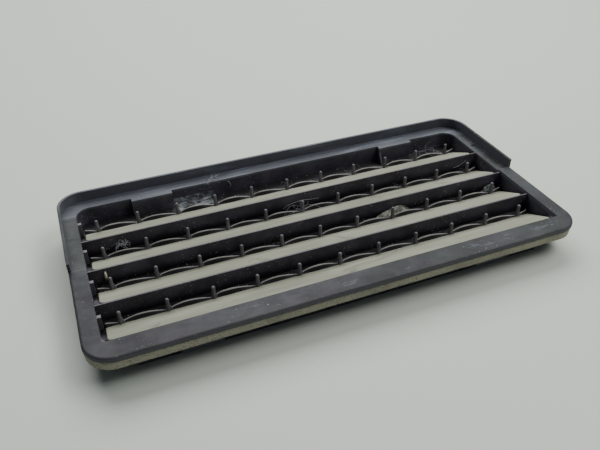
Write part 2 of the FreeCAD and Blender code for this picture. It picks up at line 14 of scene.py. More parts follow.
import bpy
import numpy as np
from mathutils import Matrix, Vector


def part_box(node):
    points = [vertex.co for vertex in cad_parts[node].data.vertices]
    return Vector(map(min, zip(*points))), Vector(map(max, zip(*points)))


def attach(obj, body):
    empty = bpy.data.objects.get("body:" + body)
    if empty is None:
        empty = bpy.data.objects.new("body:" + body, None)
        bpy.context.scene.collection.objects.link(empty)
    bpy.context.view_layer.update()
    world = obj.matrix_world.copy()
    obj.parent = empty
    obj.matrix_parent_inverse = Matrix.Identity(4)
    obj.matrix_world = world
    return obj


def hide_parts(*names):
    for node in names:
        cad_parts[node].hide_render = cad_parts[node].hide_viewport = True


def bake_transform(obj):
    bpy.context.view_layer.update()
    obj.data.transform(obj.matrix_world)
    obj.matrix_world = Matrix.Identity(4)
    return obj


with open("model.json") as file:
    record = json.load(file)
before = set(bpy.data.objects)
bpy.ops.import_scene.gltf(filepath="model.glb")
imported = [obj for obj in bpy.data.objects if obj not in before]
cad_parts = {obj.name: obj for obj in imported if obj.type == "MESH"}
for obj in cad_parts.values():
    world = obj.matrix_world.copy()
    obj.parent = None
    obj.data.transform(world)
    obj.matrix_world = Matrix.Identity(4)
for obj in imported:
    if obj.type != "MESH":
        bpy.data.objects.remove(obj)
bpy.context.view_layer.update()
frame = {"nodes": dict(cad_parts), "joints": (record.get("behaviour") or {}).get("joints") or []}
MM = 0.001
ROWS = (1, 2, 3, 4)
joints = {joint["name"]: joint for joint in frame["joints"]}

# %% [markdown]
# ## Shader maths as plain Python
#
# A finish is a tree of small nodes. It could be drawn by hand in the shader editor, or
# written node by node, but both are hard to read. So one class wraps a number that varies
# over the surface, and Python's own signs join numbers together. A second class holds the
# material and makes every other node through one method.


# %% Numbers and finishes
class Number:
    """A value that varies over a surface. The signs + - * add Math nodes to its finish."""

    def __init__(self, finish, socket):
        self.finish = finish
        self.socket = socket

    def joined(self, operation, first, second):
        settings = {"operation": operation}
        node = self.finish.node("ShaderNodeMath", settings, {0: first, 1: second})
        return Number(self.finish, node.outputs[0])

    def __add__(self, other):
        return self.joined("ADD", self, other)

    def __radd__(self, other):
        return self.joined("ADD", other, self)

    def __sub__(self, other):
        return self.joined("SUBTRACT", self, other)

    def __rsub__(self, other):
        return self.joined("SUBTRACT", other, self)

    def __mul__(self, other):
        return self.joined("MULTIPLY", self, other)

    def __rmul__(self, other):
        return self.joined("MULTIPLY", other, self)

    def higher(self, other):
        """The larger of two numbers, point by point."""
        return self.joined("MAXIMUM", self, other)

    def distance(self, centre):
        """How far the number is from one value, never negative."""
        gap = self - centre
        return gap.joined("ABSOLUTE", gap, 0.0)

    def fade(self, low, high, start=0.0, end=1.0):
        """Goes smoothly from start, at low and below, to end, at high and above."""
        settings = {"interpolation_type": "SMOOTHSTEP"}
        values = {"Value": self, "From Min": low, "From Max": high, "To Min": start, "To Max": end}
        node = self.finish.node("ShaderNodeMapRange", settings, values)
        return Number(self.finish, node.outputs["Result"])


class Finish:
    """A procedural material. Its even values sit on the shader's own sockets."""

    def __init__(self, name, **even):
        self.material = bpy.data.materials.new(name)
        self.material.use_nodes = True
        self.tree = self.material.node_tree
        self.tree.nodes.clear()
        self.shader = self.node("ShaderNodeBsdfPrincipled")
        for words, number in even.items():
            self.shader.inputs[words.replace("_", " ")].default_value = number
        output = self.node("ShaderNodeOutputMaterial")
        self.tree.links.new(self.shader.outputs[0], output.inputs["Surface"])
        self.place = self.node("ShaderNodeTexCoord").outputs["Object"]
        axes = self.node("ShaderNodeSeparateXYZ", {}, {"Vector": self.place})
        self.x, self.y, self.z = (Number(self, axes.outputs[axis]) for axis in "XYZ")

    def node(self, kind, settings=None, values=None):
        """Makes one node: its settings first, then the values or links of its sockets."""
        made = self.tree.nodes.new(kind)
        for key, choice in (settings or {}).items():
            setattr(made, key, choice)
        for key, entry in (values or {}).items():
            if isinstance(entry, Number):
                entry = entry.socket
            if isinstance(entry, bpy.types.NodeSocket):
                self.tree.links.new(entry, made.inputs[key])
            else:
                made.inputs[key].default_value = entry
        return made

    def stretched(self, stretch):
        """Object coordinates made longer or shorter along each axis."""
        values = {"Vector": self.place, "Scale": stretch}
        return self.node("ShaderNodeMapping", {}, values).outputs["Vector"]

    def noise(self, size, detail=3.0, roughness=0.5, stretch=(1, 1, 1), twist=0.0):
        """Cloudy noise from 0 to 1 whose lumps are about size metres across."""
        values = {
            "Vector": self.stretched(stretch),
            "Scale": 1.0 / size,
            "Detail": detail,
            "Roughness": roughness,
            "Distortion": twist,
        }
        node = self.node("ShaderNodeTexNoise", {}, values)
        return Number(self, node.outputs["Fac"])

    def cells(self, size):
        """Distance from the nearest of many scattered points, in units of size."""
        values = {"Vector": self.place, "Scale": 1.0 / size}
        node = self.node("ShaderNodeTexVoronoi", {"feature": "F1"}, values)
        return Number(self, node.outputs["Distance"])

    def mix(self, factor, first, second):
        """Colour between first, at factor 0, and second, at factor 1."""
        colours = [c if isinstance(c, bpy.types.NodeSocket) else (*c, 1.0) for c in (first, second)]
        values = {0: factor, 6: colours[0], 7: colours[1]}
        return self.node("ShaderNodeMix", {"data_type": "RGBA"}, values).outputs[2]

    def facing_up(self):
        """How level the surface is: 1 on a top face, 0 on an upright one."""
        normal = self.node("ShaderNodeNewGeometry").outputs["Normal"]
        axes = self.node("ShaderNodeSeparateXYZ", {}, {"Vector": normal})
        return Number(self, axes.outputs["Z"])

    def feed(self, socket, entry):
        """Links a value or colour that varies to one of the shader's sockets."""
        if isinstance(entry, Number):
            entry = entry.socket
        self.tree.links.new(entry, self.shader.inputs[socket])

    def relief(self, *layers):
        """Bumps; each layer is (height from 0 to 1, depth in metres)."""
        normal = None
        for height, depth in layers:
            values = {"Height": height, "Distance": depth, "Strength": 1.0}
            if normal is not None:
                values["Normal"] = normal
            normal = self.node("ShaderNodeBump", {}, values).outputs["Normal"]
        self.tree.links.new(normal, self.shader.inputs["Normal"])


# %% [markdown]
# ## Finishes
#
# All the plastic is the same dark moulding with a fine grain. What tells its faces apart is
# dirt: a grey film of dust on the flange, pale specks and dried water marks low in the
# troughs, and scuffs on the flange where it was handled. Some colour is painted light and
# shade: the troughs are painted darker towards their floors, some faces of the flange are
# painted paler where the rim or the lamps leave them dark, and the snap arms are painted pale
# as if lit. A painted picture could show that, but it would need a file and an unwrapped mesh.
# Each finish here mixes the clean colour with layers of dirt and of painted light and shade,
# by masks that depend on the place and on how level the face is.

# %% Colours, as linear light
PLASTIC = (0.023, 0.020, 0.028)
# Painted shade for the floors and the low walls of the troughs.
PAINTED_TROUGH_SHADE = (0.004, 0.004, 0.005)
PLASTIC_UPRIGHT = (0.036, 0.037, 0.043)
# Paler colours for upright faces, painted light where the lamps leave them dark; inside the rim
# also a film.
RIM_FILM_AND_PAINTED_LIGHT = (0.085, 0.088, 0.102)
NEAR_EDGE_PAINTED_LIGHT = (0.075, 0.074, 0.080)
PLASTIC_WORN = (0.084, 0.076, 0.098)
# Worn plastic on the pegs; on the snap arms the same pale colour is painted light.
PEG_WORN_AND_PAINTED_LIGHT = (0.115, 0.108, 0.122)
FILM = (0.021, 0.020, 0.024)
FILM_GREEN = (0.019, 0.024, 0.021)
# A blue-grey film; on the flange's far side it is also painted light.
BLUE_FILM_AND_PAINTED_LIGHT = (0.066, 0.072, 0.086)
GRIME = (0.060, 0.064, 0.068)
DUST = (0.300, 0.315, 0.300)
DUST_BLUE = (0.200, 0.222, 0.260)
DEPOSIT = (0.340, 0.370, 0.390)
RUBBER = (0.007, 0.007, 0.008)
RUBBER_DUST = (0.180, 0.186, 0.142)
RUBBER_PALE = (0.262, 0.268, 0.215)
# Dust and a painted highlight along the flap margin's rim.
RUBBER_RIM = (0.380, 0.368, 0.350)
FOAM = (0.315, 0.300, 0.225)
# Dirt on the foam, and painted shade in its pores.
FOAM_DIRT_AND_PORE_SHADE = (0.160, 0.152, 0.115)

# %% Where the flange is scuffed and filmed
# A scuff is its middle in x and y, then its half length and half width, in millimetres.
SCUFFS = [(-52, -51.5, 9, 3.2), (-8, -52, 8, 1.6), (22, -52.5, 4, 1.5), (66, -51, 17, 2.6),
          (97, -50.5, 9, 2.0), (-24, 52.5, 7, 2.2), (112, 26, 2.5, 12)]
# Each pair is where a band begins and where it is full.
RECESS_Y = (-0.5 * MM, 0.5 * MM)
FAR_FILM_AND_PAINTED_LIGHT_Y = (40 * MM, 46 * MM)
NEAR_EDGE_Y = (-54 * MM, -50 * MM)
RIM_FACE_X = (115.0 * MM, 115.4 * MM)
RIM_FACE_Y = (55.3 * MM, 55.7 * MM)
STEP_MARK = 0.35 * MM
print(len(SCUFFS), "scuffs")


# %% Plastic of the flange
def flange_finish():
    """Dark grained plastic under a grey film, with scuffs, grime, specks and scratches.

    The film is greener on the lowered far half. Along the far side the top is paler and bluer:
    a blue-grey film, and painted light where the rim shades it from the lamps. Upright faces
    have none of the top's film: inside the rim they are paler and blue-grey, a film of their
    own and painted light, along the near edge they are painted paler as painted light, and the
    rim's outside keeps the plain upright colour.
    """
    paint = Finish("flange_plastic", Roughness=0.5, Specular_IOR_Level=0.22)
    film = paint.noise(0.022, 4, 0.6).fade(0.30, 0.72)
    fine = paint.noise(0.0035, 5, 0.7, (0.5, 1.5, 1)).fade(0.50, 0.66)
    scuff = 0.0
    for x, y, half_x, half_y in SCUFFS:
        across = paint.x.distance(x * MM).fade(half_x * MM * 0.5, half_x * MM, 1.0, 0.0)
        along = paint.y.distance(y * MM).fade(half_y * MM * 0.5, half_y * MM, 1.0, 0.0)
        scuff = across * along + scuff
    specks = paint.noise(0.0011, 2, 0.5).fade(0.66, 0.76) * paint.noise(0.011, 3).fade(0.45, 0.62)
    grime = paint.noise(0.009, 6, 0.7, (0.6, 1.2, 1), 0.4).fade(0.50, 0.66)
    scratches = paint.noise(0.0016, 2, 0.5, (0.05, 1.5, 1), 0.6).fade(0.71, 0.76)
    level = paint.facing_up().fade(0.2, 0.9)
    recess = paint.y.fade(*RECESS_Y)
    broken = paint.noise(0.003, 3).fade(0.3, 0.6)
    step = paint.y.distance(0.0).fade(0, STEP_MARK, 1.0, 0.0) * broken
    # The far side of the top is painted paler: a film, and painted light where the rim shades it.
    far = paint.y.fade(*FAR_FILM_AND_PAINTED_LIGHT_Y)
    greener = recess.higher(paint.noise(0.035, 3).fade(0.50, 0.62) * 0.8)
    tone = paint.mix(far, paint.mix(greener, FILM, FILM_GREEN), BLUE_FILM_AND_PAINTED_LIGHT)
    # Upright faces inside the rim and along the near edge are painted paler: painted light.
    outside = paint.y.fade(*RIM_FACE_Y).higher(paint.x.distance(0.0).fade(*RIM_FACE_X))
    upright = paint.mix(outside, RIM_FILM_AND_PAINTED_LIGHT, PLASTIC_UPRIGHT)
    upright = paint.mix(paint.y.fade(*NEAR_EDGE_Y), NEAR_EDGE_PAINTED_LIGHT, upright)
    wiped = paint.noise(0.005, 4, 0.6, (0.14, 1, 1), 0.3).fade(0.48, 0.68) * far
    base = paint.mix((film * 0.3 + 0.7) * level, upright, tone)
    base = paint.mix((scuff * 0.28 + 0.05) * fine * level, base, DUST_BLUE)
    base = paint.mix(grime * 0.30, base, GRIME)
    base = paint.mix(scratches * level * 0.16, base, DUST)
    base = paint.mix(wiped * 0.42, base, DUST_BLUE)
    base = paint.mix(step * level * 0.35, base, DUST)
    base = paint.mix(specks * (level * 0.35 + 0.2), base, DUST)
    paint.feed("Base Color", base)
    paint.feed("Roughness", film * 0.12 + fine * 0.15 + 0.52)
    grain = paint.noise(0.00045, 2, 0.6)
    paint.relief((grain, 0.00003), (paint.noise(0.03, 2), 0.0003), (specks, 0.00005))
    return paint.material


# %% Plastic of the shelves and the collar
# The trough's floor, and the heights where the painted shade in the troughs ends.
TROUGH_FLOOR = 6.3 * MM
TROUGH_SHADE_TOP = 6.8 * MM
SHELF_SHADE_TOP = 11 * MM
DEPOSIT_MIDDLE = (-49.5 * MM, 46.0 * MM, 6.9 * MM)
DEPOSIT_HALF = (12.5 * MM, 6.0 * MM, 3.4 * MM)


def shelf_finish(name, wear_and_light, wear_and_light_tone, painted_shade=0.0, painted_shade_top=TROUGH_SHADE_TOP):
    """Dark grained plastic, clouded and streaked, with blotches and pale specks.

    From a given top height down to the trough's floor it is painted darker by a given amount:
    painted shade low in the troughs. The paler tone is wear on the shelves, pegs and collar, and
    painted light on the snap arms. A chalky deposit has dried in one box of space, in the far
    trough.
    """
    paint = Finish(name, Roughness=0.5, Specular_IOR_Level=0.4)
    clouds = paint.noise(0.012, 4, 0.6).fade(0.35, 0.75)
    streaks = paint.noise(0.004, 3, 0.6, (1.6, 1, 0.35)).fade(0.55, 0.8)
    specks = paint.noise(0.0009, 2, 0.5).fade(0.61, 0.71) * paint.noise(0.009, 3).fade(0.47, 0.60)
    blotches = paint.noise(0.0040, 5, 0.7, (0.7, 1, 1.2), 0.4).fade(0.56, 0.70)
    # The paler tone is wear, and on the snap arms painted light.
    base = paint.mix(clouds * 0.6 + wear_and_light, PLASTIC, wear_and_light_tone)
    base = paint.mix(blotches * 0.40, base, GRIME)
    base = paint.mix(streaks * 0.25, base, BLUE_FILM_AND_PAINTED_LIGHT)
    # Painted shade: darker from the given top height down to the trough's floor.
    deep = paint.z.fade(TROUGH_FLOOR, painted_shade_top, 1.0, 0.0)
    base = paint.mix(deep * painted_shade, base, PAINTED_TROUGH_SHADE)
    base = paint.mix(specks * 0.5, base, DUST)
    inside = 1.0
    for axis, middle, half in zip((paint.x, paint.y, paint.z), DEPOSIT_MIDDLE, DEPOSIT_HALF):
        inside = axis.distance(middle).fade(half * 0.6, half, 1.0, 0.0) * inside
    patchy = paint.noise(0.0030, 6, 0.75, (0.6, 1, 1), 0.5).fade(0.42, 0.60)
    base = paint.mix(inside * patchy * 0.8, base, DEPOSIT)
    paint.feed("Base Color", base)
    paint.feed("Roughness", clouds * 0.15 + 0.46)
    paint.relief((paint.noise(0.0005, 2, 0.6), 0.00003), (specks, 0.00006))
    return paint.material


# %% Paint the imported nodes
def paint_nodes(names, material):
    """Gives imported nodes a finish; their meshes and places stay as they are."""
    for name in names:
        mesh = frame["nodes"][name].data
        mesh.materials.clear()
        mesh.materials.append(material)
    print(material.name, "on", len(names), "nodes")


snap_arms = [name for name in frame["nodes"] if name.startswith("snap_arm")]
shelves = ["louvre_%d" % row for row in ROWS]
peg_rows = ["peg_row_%d" % row for row in ROWS]
paint_nodes(["flange_frame"], flange_finish())
paint_nodes(["duct_collar"], shelf_finish("collar_plastic", 0.2, PLASTIC_WORN))
# The snap arms are painted pale: painted light on parts that lie in shade under the flange.
paint_nodes(snap_arms, shelf_finish("snap_plastic", 0.7, PEG_WORN_AND_PAINTED_LIGHT))
# The shelves and the pegs get painted shade low in the troughs.
paint_nodes(shelves, shelf_finish("shelf_plastic", 0.1, PLASTIC_WORN, 0.9, SHELF_SHADE_TOP))
paint_nodes(peg_rows, shelf_finish("peg_plastic", 0.6, PEG_WORN_AND_PAINTED_LIGHT, 0.9))

# %% [markdown]
# ## Rubber flaps
#
# A flap is one strip of dark rubber. It slopes from its free edge, on the shelf's lip, down to
# the pegs. There it folds, and its margin stands up a little: the pegs hold it low and it
# arches between them. Pale dust covers the slope. A paler band runs along the margin's rim,
# dust and a painted highlight for the rim's lit edge, and the rest of the margin is left dark,
# without dust. A flat sheet bent by modifiers could do for the slope, but the arches need
# a different turn at every place along the row. So the strip is worked out as one surface in
# two directions, along the row and along the strip's own width. It has no seam, and it bends
# where the flap hinges.


# %% Meshes from grids
def grid_faces(count_u, count_v, close_u=False, close_v=False):
    """Four-cornered faces of a grid whose points are stored row by row.

    A closed direction also joins its last points to its first ones.
    """
    last_u = count_u if close_u else count_u - 1
    last_v = count_v if close_v else count_v - 1
    u, v = np.meshgrid(np.arange(last_u), np.arange(last_v), indexing="ij")
    after_u = (u + 1) % count_u
    after_v = (v + 1) % count_v
    near = [u * count_v + v, after_u * count_v + v]
    far = [after_u * count_v + after_v, u * count_v + after_v]
    return np.stack(near + far, axis=-1).reshape(-1, 4)


def turned_round(faces):
    """The same four-cornered faces, pointing the other way."""
    return faces[:, [0, 3, 2, 1]]


def repeated(faces, count, points_each):
    """The same faces for count copies whose points follow one another."""
    starts = np.arange(count) * points_each
    return (faces[None] + starts[:, None, None]).reshape(-1, 4)


def new_mesh(name, points, faces, material):
    """Smooth object at the origin, from points in metres and a list of faces."""
    mesh = bpy.data.meshes.new(name)
    mesh.from_pydata(points.reshape(-1, 3).tolist(), [], faces)
    mesh.polygons.foreach_set("use_smooth", np.full(len(mesh.polygons), True))
    mesh.materials.append(material)
    mesh.update()
    made = bpy.data.objects.new(name, mesh)
    bpy.context.collection.objects.link(made)
    return made


def two_sided(surface, thickness):
    """Closed sheet round a middle surface of shape (u, v, 3).

    The normal is the cross product of the steps along u and v. The sheet's two faces lie half
    the thickness to each side of the surface, and a band of faces joins them round the edge.
    """
    step_u = np.gradient(surface, axis=0)
    step_v = np.gradient(surface, axis=1)
    normal = np.cross(step_u, step_v)
    normal /= np.linalg.norm(normal, axis=2, keepdims=True)
    count_u, count_v = surface.shape[:2]
    total = count_u * count_v
    upper = surface + normal * thickness / 2
    lower = surface - normal * thickness / 2
    points = np.concatenate([upper.reshape(-1, 3), lower.reshape(-1, 3)])
    index = np.arange(total).reshape(count_u, count_v)
    border = np.concatenate([index[:, 0], index[-1, 1:], index[-2::-1, -1], index[0, -2:0:-1]])
    after = np.roll(border, -1)
    band = np.stack([border, border + total, after + total, after], axis=-1)
    top = grid_faces(count_u, count_v)
    return points, np.concatenate([top, (top + total)[:, ::-1], band])


# %% Rubber finish
# How much dust and painted highlight the margin's rim gets.
RIM_DUST_AND_HIGHLIGHT = 0.75


def rubber_finish():
    """Dark rubber under pale dust, blotchy, with rubbed places and fine specks.

    The mesh's own attribute says how much dust each place has, from 0 to 1; along the margin's
    rim it also carries a painted highlight for the rim's lit edge. Up to the rim's level the
    dust takes the rim's own paler tone, dust and painted highlight.
    """
    paint = Finish("flap_rubber", Roughness=0.62, Specular_IOR_Level=0.25)
    settings = {"attribute_name": "dust_and_highlight"}
    dust_and_highlight = Number(paint, paint.node("ShaderNodeAttribute", settings).outputs["Fac"])
    clouds = paint.noise(0.030, 4, 0.55, (0.6, 1.4, 1)).fade(0.25, 0.75)
    smears = paint.noise(0.008, 5, 0.65, (0.35, 1.5, 1), 0.4).fade(0.42, 0.70)
    rubbed = paint.noise(0.014, 5, 0.65, (0.6, 1, 1), 0.8).fade(0.57, 0.72)
    specks = paint.noise(0.0010, 2).fade(0.69, 0.78) * paint.noise(0.012, 2).fade(0.4, 0.7)
    dust_tone_and_highlight = paint.mix(clouds * 0.6 + smears * 0.45, RUBBER_DUST, RUBBER_PALE)
    # Along the rim the tone is paler: dust and a painted highlight.
    dust_tone_and_highlight = paint.mix(dust_and_highlight.fade(RIM_DUST_AND_HIGHLIGHT, 1.0), RUBBER_RIM, dust_tone_and_highlight)
    thick = dust_and_highlight * (1 - rubbed * 0.34)
    base = paint.mix(thick, RUBBER, dust_tone_and_highlight)
    base = paint.mix(specks * dust_and_highlight * 0.5, base, DUST)
    paint.feed("Base Color", base)
    paint.feed("Roughness", clouds * 0.15 + 0.55)
    ripple = paint.noise(0.010, 2, 0.5, (0.5, 1, 1))
    paint.relief((ripple, 0.00025), (paint.noise(0.0006, 2), 0.00002))
    return paint.material


# %% Measures of a flap
THICKNESS = 0.7 * MM
FREE_CORNER = 3.0 * MM
CURLED_BACK = 0.7 * MM
FREE_EDGE_BACK = 0.2 * MM
UNDER_LIP = 0.02 * MM
EDGE_WAVE = 0.05 * MM
BEND_START = -4 * MM
FOLD_START = -0.8 * MM
FOLD_FRONT = 0.35 * MM
FOLD_ROUND = 0.3 * MM
PINNED_WIDTH = 1.0 * MM
ARCHED_WIDTH = 2.75 * MM
PINNED_TURN = math.radians(12)
ARCHED_TURN = math.radians(66)
RIM = 0.5 * MM
SLOPE_DUST_EDGE = (0.05 * MM, 0.35 * MM)
RIM_BAND_EDGE = 0.1 * MM
UNDERSIDE_DUST = 0.15
PEG_GAPS = 10
PEG_PITCH = 20 * MM
POINTS_ALONG = 425
POINTS_ON_SLOPE = 14
POINTS_BEFORE_FOLD = 12
POINTS_AT_FOLD = 8
POINTS_ON_MARGIN = 22


# %% The strip's arches, width and waves
def peg_place(row):
    """Where the pegs of a row stand, from front to back: the middle of their node."""
    low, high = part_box("peg_row_%d" % row)
    return (low[1] + high[1]) / 2


def arches(x, draw):
    """How much the margin stands up along the row: 0 at a peg and about 1 between pegs.

    With u the place between two pegs, from 0 to 1, an arch is size * |sin(pi * u^skew)|.
    Every arch has its own size and skew, and the free ends rise like half an arch.
    """
    place = x / PEG_PITCH + PEG_GAPS / 2 + 1
    gap = np.clip(np.floor(place).astype(int), 0, PEG_GAPS + 1)
    size = draw.uniform(0.85, 1.1, PEG_GAPS + 2)
    skew = draw.uniform(0.62, 0.88, PEG_GAPS + 2)
    skew[[0, -1]] = 1
    u = np.clip(place - gap, 0, 1)
    return size[gap] * np.abs(np.sin(np.pi * u ** skew[gap]))


def free_edge_cut(x, half, curled):
    """How far the free edge is set back along the row, in metres.

    Its two corners are quarter circles. A curled flap is also set back towards its left end,
    by the square of the distance from a place right of the middle.
    """
    into_corner = np.clip(np.abs(x) - (half - FREE_CORNER), 0, FREE_CORNER)
    cut = FREE_CORNER - np.sqrt(FREE_CORNER**2 - into_corner**2)
    if curled:
        cut = cut + CURLED_BACK * np.clip(0.5 - x / half, 0, 1) ** 2
    return cut


def across_strip(run, cut, margin):
    """Distances s across the strip: from the free edge, over the fold at 0, to the rim."""
    wide = np.linspace(0, 1, POINTS_ON_SLOPE, endpoint=False)[None, :]
    parts = [(-run + cut) * (1 - wide) + BEND_START * wide]
    stretches = [(BEND_START, FOLD_START, POINTS_BEFORE_FOLD), (FOLD_START, 0, POINTS_AT_FOLD)]
    for start, end, count in stretches:
        places = np.linspace(start, end, count, endpoint=False)
        parts.append(np.broadcast_to(places, (len(cut), count)))
    parts.append(margin * np.linspace(0, 1, POINTS_ON_MARGIN)[None, :])
    return np.concatenate(parts, axis=1)


def waves_along(x, draw, count=5):
    """Sum of sines of random length, phase and strength, on average about 0."""
    ripple = np.zeros_like(x)
    for wave in range(count):
        length = draw.uniform(18, 70) * MM
        phase = draw.uniform(0, 2 * np.pi)
        ripple = ripple + draw.uniform(0.3, 1.0) * np.sin(2 * np.pi * x / length + phase)
    return ripple / count


# %% One flap's surface
def flap_surface(row):
    """Middle surface of one flap, and its dust and the painted highlight on its rim.

    Along the strip's width the distance is s: below 0 on the slope, 0 at the fold and above 0
    on the margin. The strip's direction turns smoothly at the fold, from the slope's angle
    down to the margin's angle up, and y and z are the running sums of the direction's
    cosine and sine, from the free edge on.
    """
    draw = np.random.default_rng(40 + row)
    low, high = (np.array(corner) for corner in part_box("flap_blade_%d" % row))
    fold = np.array([peg_place(row) - FOLD_FRONT, joints["flap_%d_lift" % row]["pos_m"][2]])
    free = np.array([low[1] + FREE_EDGE_BACK, high[2] - THICKNESS / 2 - UNDER_LIP])
    run = np.hypot(*(fold - free))
    slope = math.atan2(fold[1] - free[1], fold[0] - free[0])
    half = high[0]
    x = np.linspace(-half, half, POINTS_ALONG)[:, None]
    cut = free_edge_cut(x, half, row == ROWS[-1])
    arch = arches(x, draw)
    margin = PINNED_WIDTH + (ARCHED_WIDTH - PINNED_WIDTH) * arch
    s = across_strip(run, cut, margin)
    up = PINNED_TURN + (ARCHED_TURN - PINNED_TURN) * arch
    turned = np.clip((s + FOLD_ROUND) / (2 * FOLD_ROUND), 0, 1)
    turned = turned**2 * (3 - 2 * turned)
    angle = slope + (up - slope) * turned
    middle = (angle[:, 1:] + angle[:, :-1]) / 2
    steps = np.diff(s, axis=1)
    start_y = free[0] + cut * math.cos(slope)
    start_z = free[1] + cut * math.sin(slope)
    y = start_y + np.cumsum(steps * np.cos(middle), axis=1)
    z = start_z + np.cumsum(steps * np.sin(middle), axis=1)
    y = np.concatenate([start_y, y], axis=1)
    z = np.concatenate([start_z, z], axis=1)
    z = z + EDGE_WAVE * (1 + waves_along(x, draw)) * np.clip(-s / run, 0, 1)
    surface = np.stack([np.broadcast_to(x, s.shape), y, z], axis=-1)
    on_slope = np.clip((-s - SLOPE_DUST_EDGE[0]) / SLOPE_DUST_EDGE[1], 0, 1)
    # Along the margin's rim: dust and a painted highlight for its lit edge.
    on_rim = np.clip((s - margin + RIM) / RIM_BAND_EDGE, 0, 1)
    return surface, np.maximum(on_slope, on_rim * RIM_DUST_AND_HIGHLIGHT)


def both_sides_dust_and_highlight(dust_and_highlight, points):
    """Dust, and the rim's painted highlight, for the points of a two-sided sheet: full on its upper
    side, thin on the other.

    The last column of the lower side is the margin's rim, which gets as much as above.
    """
    beneath = dust_and_highlight * UNDERSIDE_DUST
    beneath[:, -1] = dust_and_highlight[:, -1]
    upper = dust_and_highlight.ravel()
    lower = beneath.ravel()
    upward = points[: len(upper), 2].sum() > points[len(upper):, 2].sum()
    return np.concatenate([upper, lower] if upward else [lower, upper])


# %% The four flaps
rubber = rubber_finish()
for row in ROWS:
    surface, dust_and_highlight = flap_surface(row)
    points, faces = two_sided(surface, THICKNESS)
    flap = new_mesh("rubber_flap_%d" % row, points, faces.tolist(), rubber)
    layer = flap.data.attributes.new("dust_and_highlight", "FLOAT", "POINT")
    layer.data.foreach_set("value", both_sides_dust_and_highlight(dust_and_highlight, points).astype(np.float32))
    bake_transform(flap)
    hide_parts("flap_margin_%d" % row, "flap_blade_%d" % row)
    print(flap.name, len(faces), "faces")

# %% [markdown]
# ## Foam seal
#
# The seal is a strip of tan foam, cut square and pressed under the flange. Its edges
# are soft and a little uneven. A box with a hole cut in it would have sharp edges and long
# thin faces. So it is a loft between two rounded outlines, the foam's outer edge and the
# collar that it goes round, and small waves make its edge and its thickness uneven.


# %% Foam finish
def foam_finish():
    """Tan foam with small pores, darker where it is dirty."""
    paint = Finish("foam", Roughness=0.9)
    dirt = paint.noise(0.018, 4, 0.6).fade(0.42, 0.75)
    pores = paint.cells(0.0011).fade(0.12, 0.42)
    base = paint.mix(dirt * 0.55, FOAM, FOAM_DIRT_AND_PORE_SHADE)
    # The pores are painted darker: painted shade in their pits.
    base = paint.mix((1 - pores) * 0.35, base, FOAM_DIRT_AND_PORE_SHADE)
    paint.feed("Base Color", base)
    paint.relief((pores, 0.00025), (paint.noise(0.004, 3), 0.0004))
    return paint.material


# %% Foam ring
SEAL_WIDTH = 5.8 * MM
SEAL_CORNER = 11.85 * MM
SEAL_GAP = 0.3 * MM
INNER_CORNER = 8.3 * MM
UNEVEN_EDGE = 0.12 * MM
UNEVEN_HEIGHT = 0.15 * MM
HEIGHT_WAVES = 11
EDGE_WAVES = (5, 9, 14, 23, 37)
SQUARENESS = 8
POINTS_ROUND_SECTION = 36


def rounded_outline(half, near, far, corner, straight=60, arc=14):
    """Closed outline: four straight sides and four quarter arcs, as points (n, 2)."""
    turn = np.linspace(0, np.pi / 2, arc, endpoint=False)[:, None]
    along = np.linspace(0, 1, straight, endpoint=False)[:, None]
    centres = np.array([[half - corner, near + corner], [half - corner, far - corner],
                        [corner - half, far - corner], [corner - half, near + corner]])
    pieces = []
    for side in range(4):
        angle = turn + (side - 1) * np.pi / 2
        pieces.append(centres[side] + corner * np.hstack([np.cos(angle), np.sin(angle)]))
        leave = side * np.pi / 2
        step = corner * np.array([np.cos(leave), np.sin(leave)])
        start = centres[side] + step
        end = centres[(side + 1) % 4] + step
        pieces.append(start + (end - start) * along)
    return np.concatenate(pieces)


def foam_ring():
    """Loft between the seal's outer and inner outlines, with rounded and uneven edges.

    Round the section an angle w gives the place across, (1 + c(w)) / 2, and the height,
    (1 + s(w)) / 2, where c and s are cosine and sine pushed out towards a square.
    """
    low, high = (np.array(corner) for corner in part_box("foam_seal"))
    collar_low, collar_high = (np.array(corner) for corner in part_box("duct_collar"))
    outer = rounded_outline(high[0], low[1], high[1], SEAL_CORNER)
    inner = rounded_outline(collar_high[0] + SEAL_GAP, collar_low[1] - SEAL_GAP,
                            collar_high[1] + SEAL_GAP, INNER_CORNER)
    w = np.linspace(0, 2 * np.pi, POINTS_ROUND_SECTION, endpoint=False)
    reach = (np.abs(np.cos(w)) ** SQUARENESS + np.abs(np.sin(w)) ** SQUARENESS) ** (-1 / SQUARENESS)
    across = (1 + reach * np.cos(w)) / 2
    height = (1 + reach * np.sin(w)) / 2
    count = len(outer)
    trip = np.linspace(0, 2 * np.pi, count, endpoint=False)
    draw = np.random.default_rng(7)
    uneven = np.zeros(count)
    for wave in EDGE_WAVES:
        uneven += draw.uniform(0.3, 1) * np.sin(wave * trip + draw.uniform(0, 6.3))
    uneven = uneven / np.abs(uneven).max() * UNEVEN_EDGE
    reached = across[None, :] * (1 - (UNEVEN_EDGE + uneven[:, None]) / SEAL_WIDTH)
    plan = inner[:, None, :] + (outer - inner)[:, None, :] * reached[:, :, None]
    pressed = UNEVEN_HEIGHT * (1 + np.sin(HEIGHT_WAVES * trip))[:, None] / 2
    tall = (high[2] - low[2]) - pressed
    z = high[2] - tall * (1 - height[None, :])
    return np.concatenate([plan, z[:, :, None]], axis=-1)


ring = foam_ring()
ring_faces = grid_faces(*ring.shape[:2], close_u=True, close_v=True)[:, ::-1]
foam = new_mesh("foam_strip", ring, ring_faces.tolist(), foam_finish())
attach(foam, "frame")
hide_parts("foam_seal")
print("foam", len(ring_faces), "faces")

